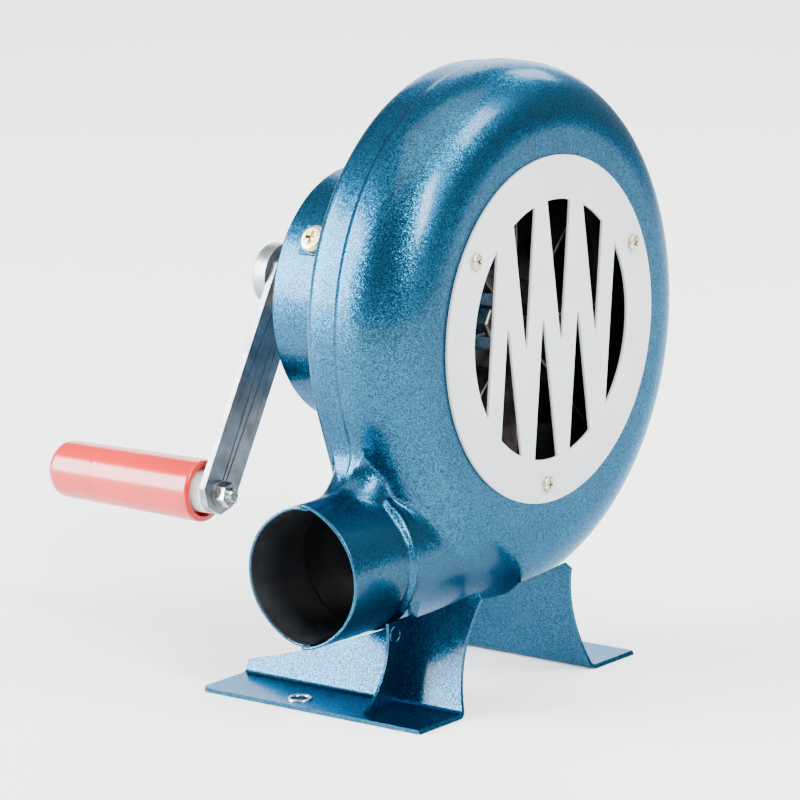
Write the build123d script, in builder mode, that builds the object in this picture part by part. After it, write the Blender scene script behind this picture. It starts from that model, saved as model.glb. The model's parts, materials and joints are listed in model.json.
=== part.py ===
"""Hand-cranked forge blower: a pressed-steel scroll casing on two bent feet, a geared
drum on its back, a cranked handle and an impeller behind a slotted intake plate.

Frame: the origin is midway between the two foot-bolt holes, on the surface that the feet
stand on.  +Z is up, -Y is the intake side, -X is the outlet side.  Millimetres.
"""

from build123d import *
from math import acos, atan2, cos, degrees, pi, radians, sin, sqrt, tan
import os

os.makedirs("parts", exist_ok=True)

# ---------------------------------------------------------------- driving dimensions

# Feet
hole_spacing = 140.0        # between the two foot-bolt holes
foot_hole_r = 4.0
foot_hole_inset = 20.5      # from the bend of a foot out to its hole
flange_width = 30.5
foot_sheet = 1.8
foot_bend_r = 2.5
foot_front = 72.5           # reach of a foot in front of the hole line
foot_rear = 47.5            # and behind it
foot_lean = 17.5            # lean of each web towards the middle, degrees
flange_corner_r = 4.0
web_length = 56.0           # of the strip above its bend, before it is trimmed
web_front_height = 49.0     # height of the web at its front edge
web_front_bow = 5.5         # how far that edge curves back
web_rear_height = 7.0
web_waist = 21.0            # where the web is trimmed close under the casing, before the holes
gusset_setback = 26.0       # gusset, in front of the casing seam
gusset_sheet = 1.5
gusset_foot = 26.0          # reach of the gusset along the foot
gusset_waist = 14.0         # and at its curved outer edge
gusset_top = 9.2            # and beside the collar
hose_room = 4.0             # kept free round the plain collar

# Casing
seam_front = 11.0           # the casing seam is this far in front of the hole line
sheet = 1.2                 # casing sheet
nest_gap = 0.1              # between the nested edges of the two halves
front_depth = 37.0
front_shoulder_r = 29.0
rear_depth = 19.2
rear_corner_r = 8.0
rim_r = 109.7               # casing radius over the top
scroll_growth = 20.3        # extra room under the fan compared with over it
scroll_shift = 9.7          # the growing side of the scroll is centred this far to -X
throat_angle = 200.0        # where the round casing ends above the outlet, degrees
low_r = 80.0                # rounding of the casing's lower corner on the outlet side
lip = 4.0                   # how far one half reaches inside the other
fan_offset = 50.0           # fan axis, from the middle of the foot holes to +X
fan_drop = 7.1              # fan axis, below the centre of the top radius
fan_shift = 2.2             # fan axis, to -X of the centre of the top radius

# Outlet
outlet_z = 60.0             # height of the outlet axis
outlet_r = 30.0             # outside of the plain collar, 60 mm
duct_r = 32.0               # outside of the duct behind the swaged step
collar_length = 40.0
swage_length = 3.0
outlet_reach = 132.0        # mouth of the outlet, from the fan axis
duct_inner_end = 62.0       # end of the duct inside the casing, from the fan axis

# Intake plate
grille_r = 77.4
grille_sheet = 1.5
slot_r = 58.0               # circle that the slots end on
bar_pitch = 13.2
bar_width = 10.5
bar_lean = 0.103            # sideways run of a lightly leaning bar per unit of height
bar_counter_lean = 0.154    # and of the bars between them
slot_corner_r = 1.2
grille_screw_circle_r = 69.0
grille_screw_angle = 146.0
grille_screw_r = 1.9
small_head_r = 3.6
small_head_height = 2.0

# Gearbox drum
drum_r = 58.5
drum_sheet = 1.5
drum_depth = 54.6
drum_rise = 5.7             # drum centre, above the fan axis
drum_corner_r = 2.0
drum_screw_setback = 18.8   # screw line, in front of the drum's closed end
drum_screw_angle = 147.0
drum_screw_r = 2.9
drum_head_r = 6.5
drum_head_height = 3.4
pad_size = 14.0
pad_height = 1.0

# Gear train
gear_module = 1.0
pressure_angle = 25.0
backlash = 0.16
wheel_teeth = 48
pinion_teeth = 12
gear_face = 6.0
pinion_face = 8.0
shaft_r = 4.0               # fan and idler shafts
crank_shaft_r = 6.0
running_gap = 0.05          # radial, shaft in bush
side_gap = 0.3              # between faces that turn past each other
plate_sheet = 3.0
bush_wall = 3.0
bush_overhang = 3.0         # of a bush past its plate
inner_overhang = 2.0        # and on the gear side
bush_flange = 4.0           # radial width of the flange that shows behind the drum
bush_flange_height = 2.5
post_r = 4.0
post_circle_r = 46.0
post_angles = (45, 225, 315)

# Impeller
blade_count = 8
impeller_r = 82.0
impeller_sheet = 1.2
blade_depth = 29.0
blade_root_r = 24.0
blade_tab = 9.0
rivet_r = 1.6
hub_r = 13.0
hub_height = 12.0
impeller_nut_size = 13.0    # across flats
impeller_nut_height = 5.5
shaft_nose = 9.0            # of the fan shaft, in front of the hub

# Crank and handle
arm_gap = 14.5              # from the drum's closed end to the arm
arm_width = 23.0
arm_sheet = 3.5
arm_throw = 105.0
arm_angle = 240.0           # direction of the arm at rest, degrees from +X
crank_hub_r = 14.5
crank_hub_height = 8.0
bolt_r = 3.0
grip_length = 85.5
grip_near_r = 14.2
grip_far_r = 13.1
grip_standoff = 4.9         # from the back of the arm to the grip
grip_recess_r = 11.6
grip_recess = 4.0
grip_bush_r = 9.6

# ---------------------------------------------------------------- derived places

seam_y = -seam_front
front_y = seam_y - front_depth
rear_y = seam_y + rear_depth
bend_x = hole_spacing / 2 - foot_hole_inset
casing_bottom = outlet_z - duct_r
rim_x = fan_offset + fan_shift
rim_z = casing_bottom + rim_r + scroll_growth
fan_x = fan_offset
fan_z = rim_z - fan_drop
mouth_x = fan_x - outlet_reach
duct_end_x = fan_x - duct_inner_end
big_r = rim_r + scroll_growth / 2 + scroll_shift**2 / (2 * scroll_growth)
big_x = rim_x - scroll_shift
big_z = casing_bottom + big_r
join_angle = degrees(acos(scroll_shift / (big_r - rim_r)))
drum_z = fan_z + drum_rise
drum_end_y = rear_y + drum_depth
drum_inner_r = drum_r - drum_sheet
screw_line_y = drum_end_y - drum_screw_setback

pitch_wheel = gear_module * wheel_teeth / 2
pitch_pinion = gear_module * pinion_teeth / 2
shaft_spacing = pitch_wheel + pitch_pinion + running_gap
# The three shafts stand at the corners of an equal-sided triangle.
crank_x = fan_x + shaft_spacing * cos(radians(150))
crank_z = fan_z + shaft_spacing * sin(radians(150))
idler_x = fan_x
idler_z = fan_z + shaft_spacing

front_plate_y = rear_y
idler_wheel_y = front_plate_y + plate_sheet + 6.0
crank_wheel_y = idler_wheel_y + gear_face + 6.5
rear_plate_y = screw_line_y + 6.0
arm_y = drum_end_y + arm_gap
arm_back_y = arm_y + arm_sheet
bolt_x = crank_x + arm_throw * cos(radians(arm_angle))
bolt_z = crank_z + arm_throw * sin(radians(arm_angle))
grip_y = arm_back_y + grip_standoff
disc_y = rear_y - sheet - 8.0


def at(y):
    """The upright plane at y, drawn in x and z, with its normal towards -Y."""
    return Plane.XZ.offset(-y)


def save(part, name):
    part.label = name
    export_step(part, f"parts/{name}.step")


# ---------------------------------------------------------------- casing envelope

def scroll_outline(inset):
    """Wires of the round casing, drawn `inset` inside its outside."""
    top = rim_r - inset
    low = low_r - inset
    nx = cos(radians(throat_angle))
    nz = sin(radians(throat_angle))
    low_z = casing_bottom + low_r
    low_x = rim_x + (rim_r - low_r - (low_z - rim_z) * nz) / nx
    CenterArc((rim_x, rim_z), top, join_angle, throat_angle - join_angle)
    Line((rim_x + top * nx, rim_z + top * nz), (low_x + low * nx, low_z + low * nz))
    CenterArc((low_x, low_z), low, throat_angle, 270 - throat_angle)
    Line((low_x, casing_bottom + inset), (big_x, casing_bottom + inset))
    CenterArc((big_x, big_z), big_r - inset, -90, join_angle + 90)


def duct_solid(inset, reach):
    """The outlet duct as a solid round bar with a domed inner end."""
    step = mouth_x + collar_length
    with BuildPart() as duct:
        with BuildSketch(Plane((0, seam_y, outlet_z), x_dir=(1, 0, 0), z_dir=(0, -1, 0))):
            with BuildLine():
                Polyline(
                    (duct_end_x + duct_r - inset, 0),
                    (mouth_x - reach, 0),
                    (mouth_x - reach, outlet_r - inset),
                    (step, outlet_r - inset),
                    (step + swage_length, duct_r - inset),
                    (duct_end_x, duct_r - inset),
                )
                CenterArc((duct_end_x, 0), duct_r - inset, 0, 90)
            make_face()
        revolve(axis=Axis((0, seam_y, outlet_z), (1, 0, 0)))
    return duct.part


def pan_solid(inset, y_from, y_to, corner_r):
    """The round casing between two planes, with the far edge rounded."""
    with BuildPart() as pan:
        with BuildSketch(at(y_from)):
            with BuildLine():
                scroll_outline(inset)
            make_face()
        extrude(amount=y_from - y_to)
        outer = pan.faces().sort_by(Axis.Y)[0 if y_to < y_from else -1]
        fillet(outer.edges(), radius=corner_r)
    return pan.part


def half_space(y_from, y_to):
    """A block that holds everything between two y planes."""
    with BuildPart() as block:
        with BuildSketch(at(y_from)):
            with Locations((fan_x, rim_z)):
                Rectangle(8 * rim_r, 8 * rim_r)
        extrude(amount=y_from - y_to)
    return block.part


def duct_half(inset, reach, y_from, y_to):
    with BuildPart() as half:
        add(duct_solid(inset, reach))
        add(half_space(y_from, y_to), mode=Mode.INTERSECT)
    return half.part


# ---------------------------------------------------------------- casing halves

with BuildPart() as front_casing:
    add(pan_solid(0, seam_y, front_y, front_shoulder_r))
    add(duct_half(0, 0, seam_y, seam_y - 2 * duct_r))
    add(pan_solid(sheet, seam_y + 1, front_y + sheet, front_shoulder_r - sheet), mode=Mode.SUBTRACT)
    add(duct_half(sheet, 1, seam_y + 1, seam_y - 2 * duct_r), mode=Mode.SUBTRACT)
    with BuildSketch(at(front_y)):
        with Locations((fan_x, fan_z)):
            Circle(slot_r + 3)
            with PolarLocations(grille_screw_circle_r, 3, start_angle=grille_screw_angle):
                Circle(grille_screw_r)
    extrude(amount=-2 * sheet, mode=Mode.SUBTRACT)
save(front_casing.part, "front_casing")

with BuildPart() as rear_casing:
    nested = sheet + nest_gap
    add(pan_solid(nested, seam_y - lip, rear_y, rear_corner_r))
    add(duct_half(0, 0, seam_y, seam_y + 2 * duct_r))
    add(duct_half(nested, 0, seam_y - lip, seam_y + lip))
    add(pan_solid(nested + sheet, seam_y - 2 * lip, rear_y - sheet, rear_corner_r - sheet),
        mode=Mode.SUBTRACT)
    add(duct_half(nested + sheet, 1, seam_y - 2 * lip, seam_y + lip / 2), mode=Mode.SUBTRACT)
    add(duct_half(sheet, 1, seam_y + lip / 2, seam_y + 2 * duct_r), mode=Mode.SUBTRACT)
    with BuildSketch(at(rear_y)):
        with Locations((fan_x, fan_z)):
            Circle(shaft_r + running_gap + bush_wall)
    extrude(amount=2 * sheet, mode=Mode.SUBTRACT)
save(rear_casing.part, "rear_casing")

with BuildPart() as casing_envelope:
    add(pan_solid(0, seam_y, front_y, front_shoulder_r))
    add(pan_solid(sheet + nest_gap, seam_y, rear_y, rear_corner_r))
    add(duct_solid(0, 0))


# ---------------------------------------------------------------- intake plate

def bar_edge(index, side, z):
    """x of one edge of a slanted bar at height z; side is -1 or +1."""
    lean = bar_lean if index % 2 else -bar_counter_lean
    return bar_pitch * index + side * bar_width / 2 + lean * z


def slot_triangle(index):
    """The wedge between a bar and the next one, from its tip outwards."""
    left_lean = bar_lean if index % 2 else -bar_counter_lean
    right_lean = bar_lean if (index + 1) % 2 else -bar_counter_lean
    tip_z = (bar_pitch - bar_width) / (left_lean - right_lean)
    end_z = (2 * slot_r) * (1 if right_lean > left_lean else -1)
    return [
        (bar_edge(index, 1, tip_z), tip_z),
        (bar_edge(index, 1, end_z), end_z),
        (bar_edge(index + 1, -1, end_z), end_z),
    ]


def side_region(side):
    """What lies beyond the last bar on one side."""
    far = 2 * slot_r
    return [
        (bar_edge(3 * side, side, -far), -far),
        (bar_edge(3 * side, side, far), far),
        (side * 2 * far, far),
        (side * 2 * far, -far),
    ]


slot_shapes = [slot_triangle(index) for index in range(-3, 3)]
slot_shapes += [side_region(-1), side_region(1)]

with BuildPart() as intake_grille:
    with BuildSketch(at(front_y)):
        with Locations((fan_x, fan_z)):
            Circle(grille_r)
            with PolarLocations(grille_screw_circle_r, 3, start_angle=grille_screw_angle):
                Circle(grille_screw_r + 0.3, mode=Mode.SUBTRACT)
    extrude(amount=grille_sheet)
    for shape in slot_shapes:
        with BuildSketch(at(front_y).offset(-1)) as slot:
            with Locations((fan_x, fan_z)):
                Polygon(*shape, align=None)
                Circle(slot_r, mode=Mode.INTERSECT)
            fillet(slot.vertices(), radius=slot_corner_r)
        extrude(amount=grille_sheet + 2, mode=Mode.SUBTRACT)
save(intake_grille.part, "intake_grille")


def pan_screw(plane, head_r, head_height, shank_r, shank_length):
    """A pan-headed cross-recess screw; the plane's normal points out of the head."""
    with BuildPart() as screw:
        with BuildSketch(plane):
            Circle(head_r)
        extrude(amount=head_height)
        fillet(screw.faces().sort_by(lambda f: -plane.to_local_coords(f.center()).Z)[0].edges(),
               radius=0.6 * head_height)
        with BuildSketch(plane):
            Circle(shank_r)
        extrude(amount=-shank_length)
        with BuildSketch(plane.offset(head_height)):
            Rectangle(head_r, 0.26 * head_r)
            Rectangle(0.26 * head_r, head_r)
        extrude(amount=-0.6 * head_height, mode=Mode.SUBTRACT)
    return screw.part


with BuildPart() as grille_screws:
    for index in range(3):
        angle = radians(grille_screw_angle + 120 * index)
        centre = (
            fan_x + grille_screw_circle_r * cos(angle),
            front_y - grille_sheet,
            fan_z + grille_screw_circle_r * sin(angle),
        )
        head_plane = Plane(centre, x_dir=(cos(angle), 0, sin(angle)), z_dir=(0, -1, 0))
        add(pan_screw(head_plane, small_head_r, small_head_height, grille_screw_r, 6.0))
save(grille_screws.part, "grille_screws")


# ---------------------------------------------------------------- feet

def foot_blank(side):
    """The bent strip of one foot, in x and z; side is -1 for the outlet foot."""
    lean = radians(foot_lean)
    corner = side * bend_x
    outer = side * (bend_x + flange_width)
    run_x = -side * sin(lean)
    run_z = cos(lean)
    inner_x = corner - side * foot_sheet / cos(lean)
    return [
        (outer, 0),
        (inner_x, 0),
        (inner_x + run_x * web_length, run_z * web_length),
        (corner + run_x * web_length, run_z * web_length),
        (corner - side * foot_sheet * tan(lean), foot_sheet),
        (outer, foot_sheet),
    ]


def foot(side):
    with BuildPart() as piece:
        with BuildSketch(at(foot_rear)):
            Polygon(*foot_blank(side), align=None)
        extrude(amount=foot_front + foot_rear)
        bends = piece.edges().filter_by(Axis.Y)
        bends = bends.filter_by(lambda e: abs(abs(e.center().X) - bend_x) < 3 * foot_sheet)
        low = bends.filter_by(lambda e: e.center().Z < foot_sheet / 2)
        high = bends.filter_by(lambda e: foot_sheet / 2 < e.center().Z < 2 * foot_sheet)
        fillet(high, radius=foot_bend_r)
        fillet(low, radius=foot_bend_r + foot_sheet)
        with BuildSketch(Plane.YZ.offset(-2 * hole_spacing)) as keep:
            with BuildLine():
                front = -foot_front
                rear = foot_rear
                Line((rear, 0), (front, 0))
                top = (front + 1.5, web_front_height)
                corner = (front + 4.5, web_front_height + 2.5)
                low = (-web_waist, casing_bottom + 1)
                ThreePointArc((front, 0), (front + web_front_bow, web_front_height / 2), top)
                Line(top, corner)
                ThreePointArc(corner, low, (rear, web_rear_height))
                Line((rear, web_rear_height), (rear, 0))
            make_face()
        extrude(amount=4 * hole_spacing, mode=Mode.INTERSECT)
        corners = piece.edges().filter_by(Axis.Z)
        corners = corners.filter_by(lambda e: abs(e.center().X) > bend_x + flange_width - 1)
        if corners:
            fillet(corners, radius=flange_corner_r)
        with BuildSketch(Plane.XY):
            with Locations((side * hole_spacing / 2, 0)):
                Circle(foot_hole_r)
        extrude(amount=3 * foot_sheet, mode=Mode.SUBTRACT)
        add(casing_envelope.part, mode=Mode.SUBTRACT)
    return piece.part


outlet_foot = foot(-1)
far_foot = foot(1)
save(outlet_foot, "outlet_foot")
save(far_foot, "far_foot")

with BuildPart() as foot_gusset:
    # Welded to the foot and to the duct behind the swage; it stays clear of a hose on the collar.
    base_x = -bend_x + 2.0
    swage_x = mouth_x + collar_length + 1.0
    hose_z = outlet_z - sqrt((outlet_r + hose_room) ** 2 - gusset_setback ** 2)
    weld_z = outlet_z - outlet_r / 2
    with BuildSketch(at(seam_y - gusset_setback)):
        with BuildLine():
            outer = (base_x - gusset_foot, foot_sheet)
            Line((base_x, foot_sheet), outer)
            ThreePointArc(outer, (base_x - gusset_waist, 14.0), (base_x - gusset_top, hose_z))
            Polyline(
                (base_x - gusset_top, hose_z),
                (swage_x, hose_z),
                (swage_x, weld_z),
                (base_x + gusset_waist, weld_z),
                (base_x, foot_sheet),
            )
        make_face()
    extrude(amount=gusset_sheet)
    add(outlet_foot, mode=Mode.SUBTRACT)
    add(casing_envelope.part, mode=Mode.SUBTRACT)
save(foot_gusset.part, "foot_gusset")


# ---------------------------------------------------------------- gearbox drum

def tube(x, z, outer_r, inner_r, y_from, y_to):
    """A round bar or bush along Y; y_from is the lower y."""
    with BuildPart() as bar:
        with BuildSketch(at(y_to)):
            with Locations((x, z)):
                Circle(outer_r)
                if inner_r:
                    Circle(inner_r, mode=Mode.SUBTRACT)
        extrude(amount=y_to - y_from)
    return bar.part


def radial_plane(angle, radius, y):
    """A plane square to a radius of the drum, facing outwards."""
    a = radians(angle)
    return Plane(
        (fan_x + radius * cos(a), y, drum_z + radius * sin(a)),
        x_dir=(0, 1, 0),
        z_dir=(cos(a), 0, sin(a)),
    )


screw_angles = [drum_screw_angle + 120 * index for index in range(3)]

with BuildPart() as gearbox_drum:
    with BuildSketch(at(rear_y)):
        with Locations((fan_x, drum_z)):
            Circle(drum_r)
    extrude(amount=-drum_depth)
    fillet(gearbox_drum.faces().sort_by(Axis.Y)[-1].edges(), radius=drum_corner_r)
    for angle in screw_angles:
        with BuildSketch(radial_plane(angle, drum_r + pad_height, screw_line_y)):
            Rectangle(pad_size, pad_size)
        extrude(amount=-pad_height - 4 * drum_sheet)
    with BuildSketch(at(rear_y)):
        with Locations((fan_x, drum_z)):
            Circle(drum_inner_r)
    extrude(amount=-(drum_depth - drum_sheet), mode=Mode.SUBTRACT)
    for angle in screw_angles:
        with BuildSketch(radial_plane(angle, drum_r + 2 * pad_height, screw_line_y)):
            Circle(drum_screw_r + 0.2)
        extrude(amount=-6 * drum_sheet, mode=Mode.SUBTRACT)
    with BuildSketch(at(drum_end_y + 1)):
        with Locations((crank_x, crank_z)):
            Circle(crank_shaft_r + running_gap + bush_wall)
    extrude(amount=3 * drum_sheet, mode=Mode.SUBTRACT)
save(gearbox_drum.part, "gearbox_drum")

tab_r = drum_inner_r - 0.2
plate_r = tab_r - plate_sheet - 1.0
nut_size = 10.0
nut_height = 5.0


def bearing_plate(y, idler_hole, crank_hole):
    """A round plate with the shaft holes and the post holes, y is its front face."""
    with BuildPart() as plate:
        with BuildSketch(at(y + plate_sheet)):
            with Locations((fan_x, drum_z)):
                Circle(plate_r)
            with Locations((fan_x, fan_z)):
                Circle(shaft_r + running_gap + bush_wall, mode=Mode.SUBTRACT)
            if idler_hole:
                with Locations((idler_x, idler_z)):
                    Circle(idler_hole, mode=Mode.SUBTRACT)
            if crank_hole:
                with Locations((crank_x, crank_z)):
                    Circle(crank_hole, mode=Mode.SUBTRACT)
        extrude(amount=plate_sheet)
    return plate.part


bush_r = shaft_r + running_gap + bush_wall
crank_bush_r = crank_shaft_r + running_gap + bush_wall

front_bearing_plate = bearing_plate(front_plate_y, bush_r, 0)
save(front_bearing_plate, "front_bearing_plate")

with BuildPart() as rear_bearing_plate:
    add(bearing_plate(rear_plate_y, bush_r, crank_bush_r))
    for angle in screw_angles:
        # A tab bent forwards along the drum wall, with the screw hole in it.
        with BuildSketch(at(rear_plate_y + plate_sheet)):
            with Locations((fan_x, drum_z)):
                with PolarLocations(0, 1, start_angle=angle):
                    with Locations((tab_r - plate_sheet, 0)):
                        Rectangle(2 * plate_sheet, pad_size)
                Circle(tab_r, mode=Mode.INTERSECT)
        extrude(amount=plate_sheet)
        with BuildSketch(at(rear_plate_y + plate_sheet)):
            with Locations((fan_x, drum_z)):
                with PolarLocations(0, 1, start_angle=angle):
                    with Locations((tab_r - plate_sheet / 2 - 0.6, 0)):
                        Rectangle(plate_sheet - 0.8, pad_size)
        extrude(amount=plate_sheet + pad_size)
        with BuildSketch(radial_plane(angle, drum_r, screw_line_y)):
            Circle(drum_screw_r)
        extrude(amount=-5 * plate_sheet, mode=Mode.SUBTRACT)
save(rear_bearing_plate.part, "rear_bearing_plate")

nut_seat_r = tab_r - plate_sheet - 0.2

with BuildPart() as drum_nuts:
    for angle in screw_angles:
        with BuildSketch(radial_plane(angle, nut_seat_r, screw_line_y)):
            Rectangle(nut_size, nut_size)
            Circle(drum_screw_r, mode=Mode.SUBTRACT)
        extrude(amount=-nut_height)
save(drum_nuts.part, "drum_nuts")

with BuildPart() as drum_screws:
    for angle in screw_angles:
        head_plane = radial_plane(angle, drum_r + pad_height, screw_line_y)
        add(pan_screw(head_plane, drum_head_r, drum_head_height, drum_screw_r, 14.0))
save(drum_screws.part, "drum_screws")

with BuildPart() as plate_posts:
    for angle in post_angles:
        a = radians(angle)
        post_x = fan_x + post_circle_r * cos(a)
        post_z = drum_z + post_circle_r * sin(a)
        add(tube(post_x, post_z, post_r, 0, front_plate_y + plate_sheet, rear_plate_y))
save(plate_posts.part, "plate_posts")

shaft_end_y = rear_plate_y + plate_sheet + bush_overhang
spacer_y = arm_y - 4.0

save(tube(fan_x, fan_z, bush_r, shaft_r + running_gap, rear_y - 5.0, front_plate_y + plate_sheet + bush_overhang),
     "fan_front_bush")
save(tube(fan_x, fan_z, bush_r, shaft_r + running_gap, rear_plate_y - inner_overhang, shaft_end_y),
     "fan_rear_bush")
save(tube(idler_x, idler_z, bush_r, shaft_r + running_gap, front_plate_y, front_plate_y + plate_sheet + bush_overhang),
     "idler_front_bush")
save(tube(idler_x, idler_z, bush_r, shaft_r + running_gap, rear_plate_y - inner_overhang, shaft_end_y),
     "idler_rear_bush")
save(tube(crank_x, crank_z, crank_bush_r, crank_shaft_r + running_gap,
          rear_plate_y - 2 * inner_overhang, shaft_end_y), "crank_inner_bush")

with BuildPart() as crank_outer_bush:
    add(tube(crank_x, crank_z, crank_bush_r, crank_shaft_r + running_gap,
             drum_end_y - drum_sheet - inner_overhang, spacer_y))
    add(tube(crank_x, crank_z, crank_bush_r + bush_flange, crank_shaft_r + running_gap,
             drum_end_y, drum_end_y + bush_flange_height))
save(crank_outer_bush.part, "crank_outer_bush")


# ---------------------------------------------------------------- gear train

def gear_points(teeth, phase):
    """Corner points of an involute gear with a tooth centred at `phase` degrees."""
    angle = radians(pressure_angle)
    pitch = gear_module * teeth / 2
    base = pitch * cos(angle)
    tip = pitch + gear_module
    root = pitch - 1.25 * gear_module
    half = (pi * gear_module / 2 - backlash) / (2 * pitch)
    half_base = half + tan(angle) - angle
    start = max(base, root)
    flank = [(root, half_base)] if root < base else []
    steps = 4
    for step in range(steps + 1):
        radius = start + (tip - start) * step / steps
        a = acos(min(1.0, base / radius))
        flank.append((radius, half_base - (tan(a) - a)))
    points = []
    for tooth in range(teeth):
        centre = radians(phase) + 2 * pi * tooth / teeth
        points += [(r * cos(centre - t), r * sin(centre - t)) for r, t in flank]
        points += [(r * cos(centre + t), r * sin(centre + t)) for r, t in reversed(flank)]
    return points


def gear(x, z, teeth, phase, bore, y_from, y_to):
    with BuildPart() as wheel:
        with BuildSketch(at(y_to)):
            with Locations((x, z)):
                Polygon(*gear_points(teeth, phase), align=None)
                Circle(bore, mode=Mode.SUBTRACT)
        extrude(amount=y_to - y_from)
    return wheel.part


half_tooth = 180 / pinion_teeth
towards_idler = degrees(atan2(idler_z - crank_z, idler_x - crank_x))
towards_fan = -90.0

save(gear(crank_x, crank_z, wheel_teeth, towards_idler, crank_shaft_r,
          crank_wheel_y, crank_wheel_y + gear_face), "crank_gear")
save(gear(idler_x, idler_z, pinion_teeth, towards_idler + 180 + half_tooth, shaft_r,
          crank_wheel_y - 1, crank_wheel_y - 1 + pinion_face), "idler_pinion")
save(gear(idler_x, idler_z, wheel_teeth, towards_fan, shaft_r,
          idler_wheel_y, idler_wheel_y + gear_face), "idler_gear")
save(gear(fan_x, fan_z, pinion_teeth, towards_fan + 180 + half_tooth, shaft_r,
          idler_wheel_y - 1, idler_wheel_y - 1 + pinion_face), "fan_pinion")

save(tube(idler_x, idler_z, shaft_r, 0, front_plate_y + side_gap, shaft_end_y), "idler_shaft")


# ---------------------------------------------------------------- impeller

hub_front_y = disc_y - hub_height
shaft_front_y = hub_front_y - shaft_nose

save(tube(fan_x, fan_z, shaft_r, 0, shaft_front_y, shaft_end_y), "fan_shaft")
save(tube(fan_x, fan_z, hub_r, shaft_r, hub_front_y, disc_y), "impeller_hub")

with BuildPart() as impeller_nut:
    with BuildSketch(at(hub_front_y)):
        with Locations((fan_x, fan_z)):
            RegularPolygon(impeller_nut_size / sqrt(3), 6)
            Circle(shaft_r, mode=Mode.SUBTRACT)
    extrude(amount=impeller_nut_height)
    chamfer(impeller_nut.faces().sort_by(Axis.Y)[0].edges().filter_by(GeomType.LINE), length=0.6)
save(impeller_nut.part, "impeller_nut")


rivet_radii = (blade_root_r + 14.0, impeller_r - 16.0)
rivet_side = blade_tab - 3.5


def blade_plane(index):
    """A plane on the disc's front with x along blade `index`."""
    a = 2 * pi * index / blade_count
    return Plane((fan_x, disc_y, fan_z), x_dir=(cos(a), 0, sin(a)), z_dir=(0, -1, 0))


def blade(index):
    """A radial blade with a foot tab bent along the disc."""
    length = impeller_r - 1.0 - blade_root_r
    middle = blade_root_r + length / 2
    with BuildPart() as piece:
        with BuildSketch(blade_plane(index)):
            with Locations((middle, 0)):
                Rectangle(length, impeller_sheet)
        extrude(amount=blade_depth)
        with BuildSketch(blade_plane(index)):
            with Locations((middle, (blade_tab - impeller_sheet) / 2)):
                Rectangle(0.8 * length, blade_tab)
        extrude(amount=impeller_sheet)
        with BuildSketch(blade_plane(index)):
            with Locations(*[(radius, rivet_side) for radius in rivet_radii]):
                Circle(rivet_r)
        extrude(amount=2 * impeller_sheet, mode=Mode.SUBTRACT)
    return piece.part


for index in range(blade_count):
    save(blade(index), f"blade_{index + 1}")

with BuildPart() as impeller_disc:
    add(tube(fan_x, fan_z, impeller_r, shaft_r, disc_y, disc_y + impeller_sheet))
    for index in range(blade_count):
        with BuildSketch(blade_plane(index)):
            with Locations(*[(radius, rivet_side) for radius in rivet_radii]):
                Circle(rivet_r)
        extrude(amount=-2 * impeller_sheet, mode=Mode.SUBTRACT)
save(impeller_disc.part, "impeller_disc")

with BuildPart() as blade_rivets:
    for index in range(blade_count):
        # Each rivet fills its hole and has a low head on both sides.
        for top, height, radius in (
            (impeller_sheet, 2 * impeller_sheet, rivet_r),
            (impeller_sheet + 0.9, 0.9, 1.7 * rivet_r),
            (-impeller_sheet, 0.9, 1.7 * rivet_r),
        ):
            with BuildSketch(blade_plane(index).offset(top)):
                with Locations(*[(place, rivet_side) for place in rivet_radii]):
                    Circle(radius)
            extrude(amount=-height)
save(blade_rivets.part, "blade_rivets")


# ---------------------------------------------------------------- crank and handle

def bolt_tube(outer_r, inner_r, y_from, y_to):
    return tube(bolt_x, bolt_z, outer_r, inner_r, y_from, y_to)


crank_inner_y = crank_wheel_y - 2.0
hub_end_y = arm_back_y + crank_hub_height
head_height = 4.0
head_sink = 5.0
grip_end_y = grip_y + grip_length
head_y = grip_end_y - head_sink - head_height
nut_thick = 5.0
handle_nut_size = 10.0      # across flats
washer_thick = 1.2

with BuildPart() as crank_shaft:
    add(tube(crank_x, crank_z, crank_shaft_r, 0, crank_inner_y, hub_end_y + 1.0))
    chamfer(crank_shaft.faces().sort_by(Axis.Y)[-1].edges(), length=0.8)
save(crank_shaft.part, "crank_shaft")
save(tube(crank_x, crank_z, crank_bush_r, crank_shaft_r, spacer_y + side_gap, arm_y), "crank_spacer")

with BuildPart() as crank_hub:
    add(tube(crank_x, crank_z, crank_hub_r, crank_shaft_r, arm_back_y, hub_end_y))
    rim = crank_hub.faces().sort_by(Axis.Y)[-1].outer_wire().edges()
    fillet(rim, radius=1.5)
save(crank_hub.part, "crank_hub")

with BuildPart() as crank_arm:
    a = radians(arm_angle)
    along = Plane((crank_x, arm_back_y, crank_z), x_dir=(cos(a), 0, sin(a)), z_dir=(0, -1, 0))
    with BuildSketch(along) as arm_sketch:
        with Locations((arm_throw / 2, 0)):
            Rectangle(arm_throw + 0.75 * arm_width, arm_width)
        chamfer(arm_sketch.vertices(), length=0.28 * arm_width)
        Circle(crank_shaft_r, mode=Mode.SUBTRACT)
        with Locations((arm_throw, 0)):
            Circle(bolt_r, mode=Mode.SUBTRACT)
    extrude(amount=arm_sheet)
save(crank_arm.part, "crank_arm")

with BuildPart() as handle_bolt:
    add(bolt_tube(bolt_r, 0, arm_y - washer_thick - nut_thick - 2.0, head_y))
    add(bolt_tube(2 * bolt_r, 0, head_y, head_y + head_height))
    chamfer(handle_bolt.faces().sort_by(Axis.Y)[0].edges(), length=0.5)
save(handle_bolt.part, "handle_bolt")

save(bolt_tube(2.0 * bolt_r, bolt_r, arm_y - washer_thick, arm_y), "handle_washer")

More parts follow.
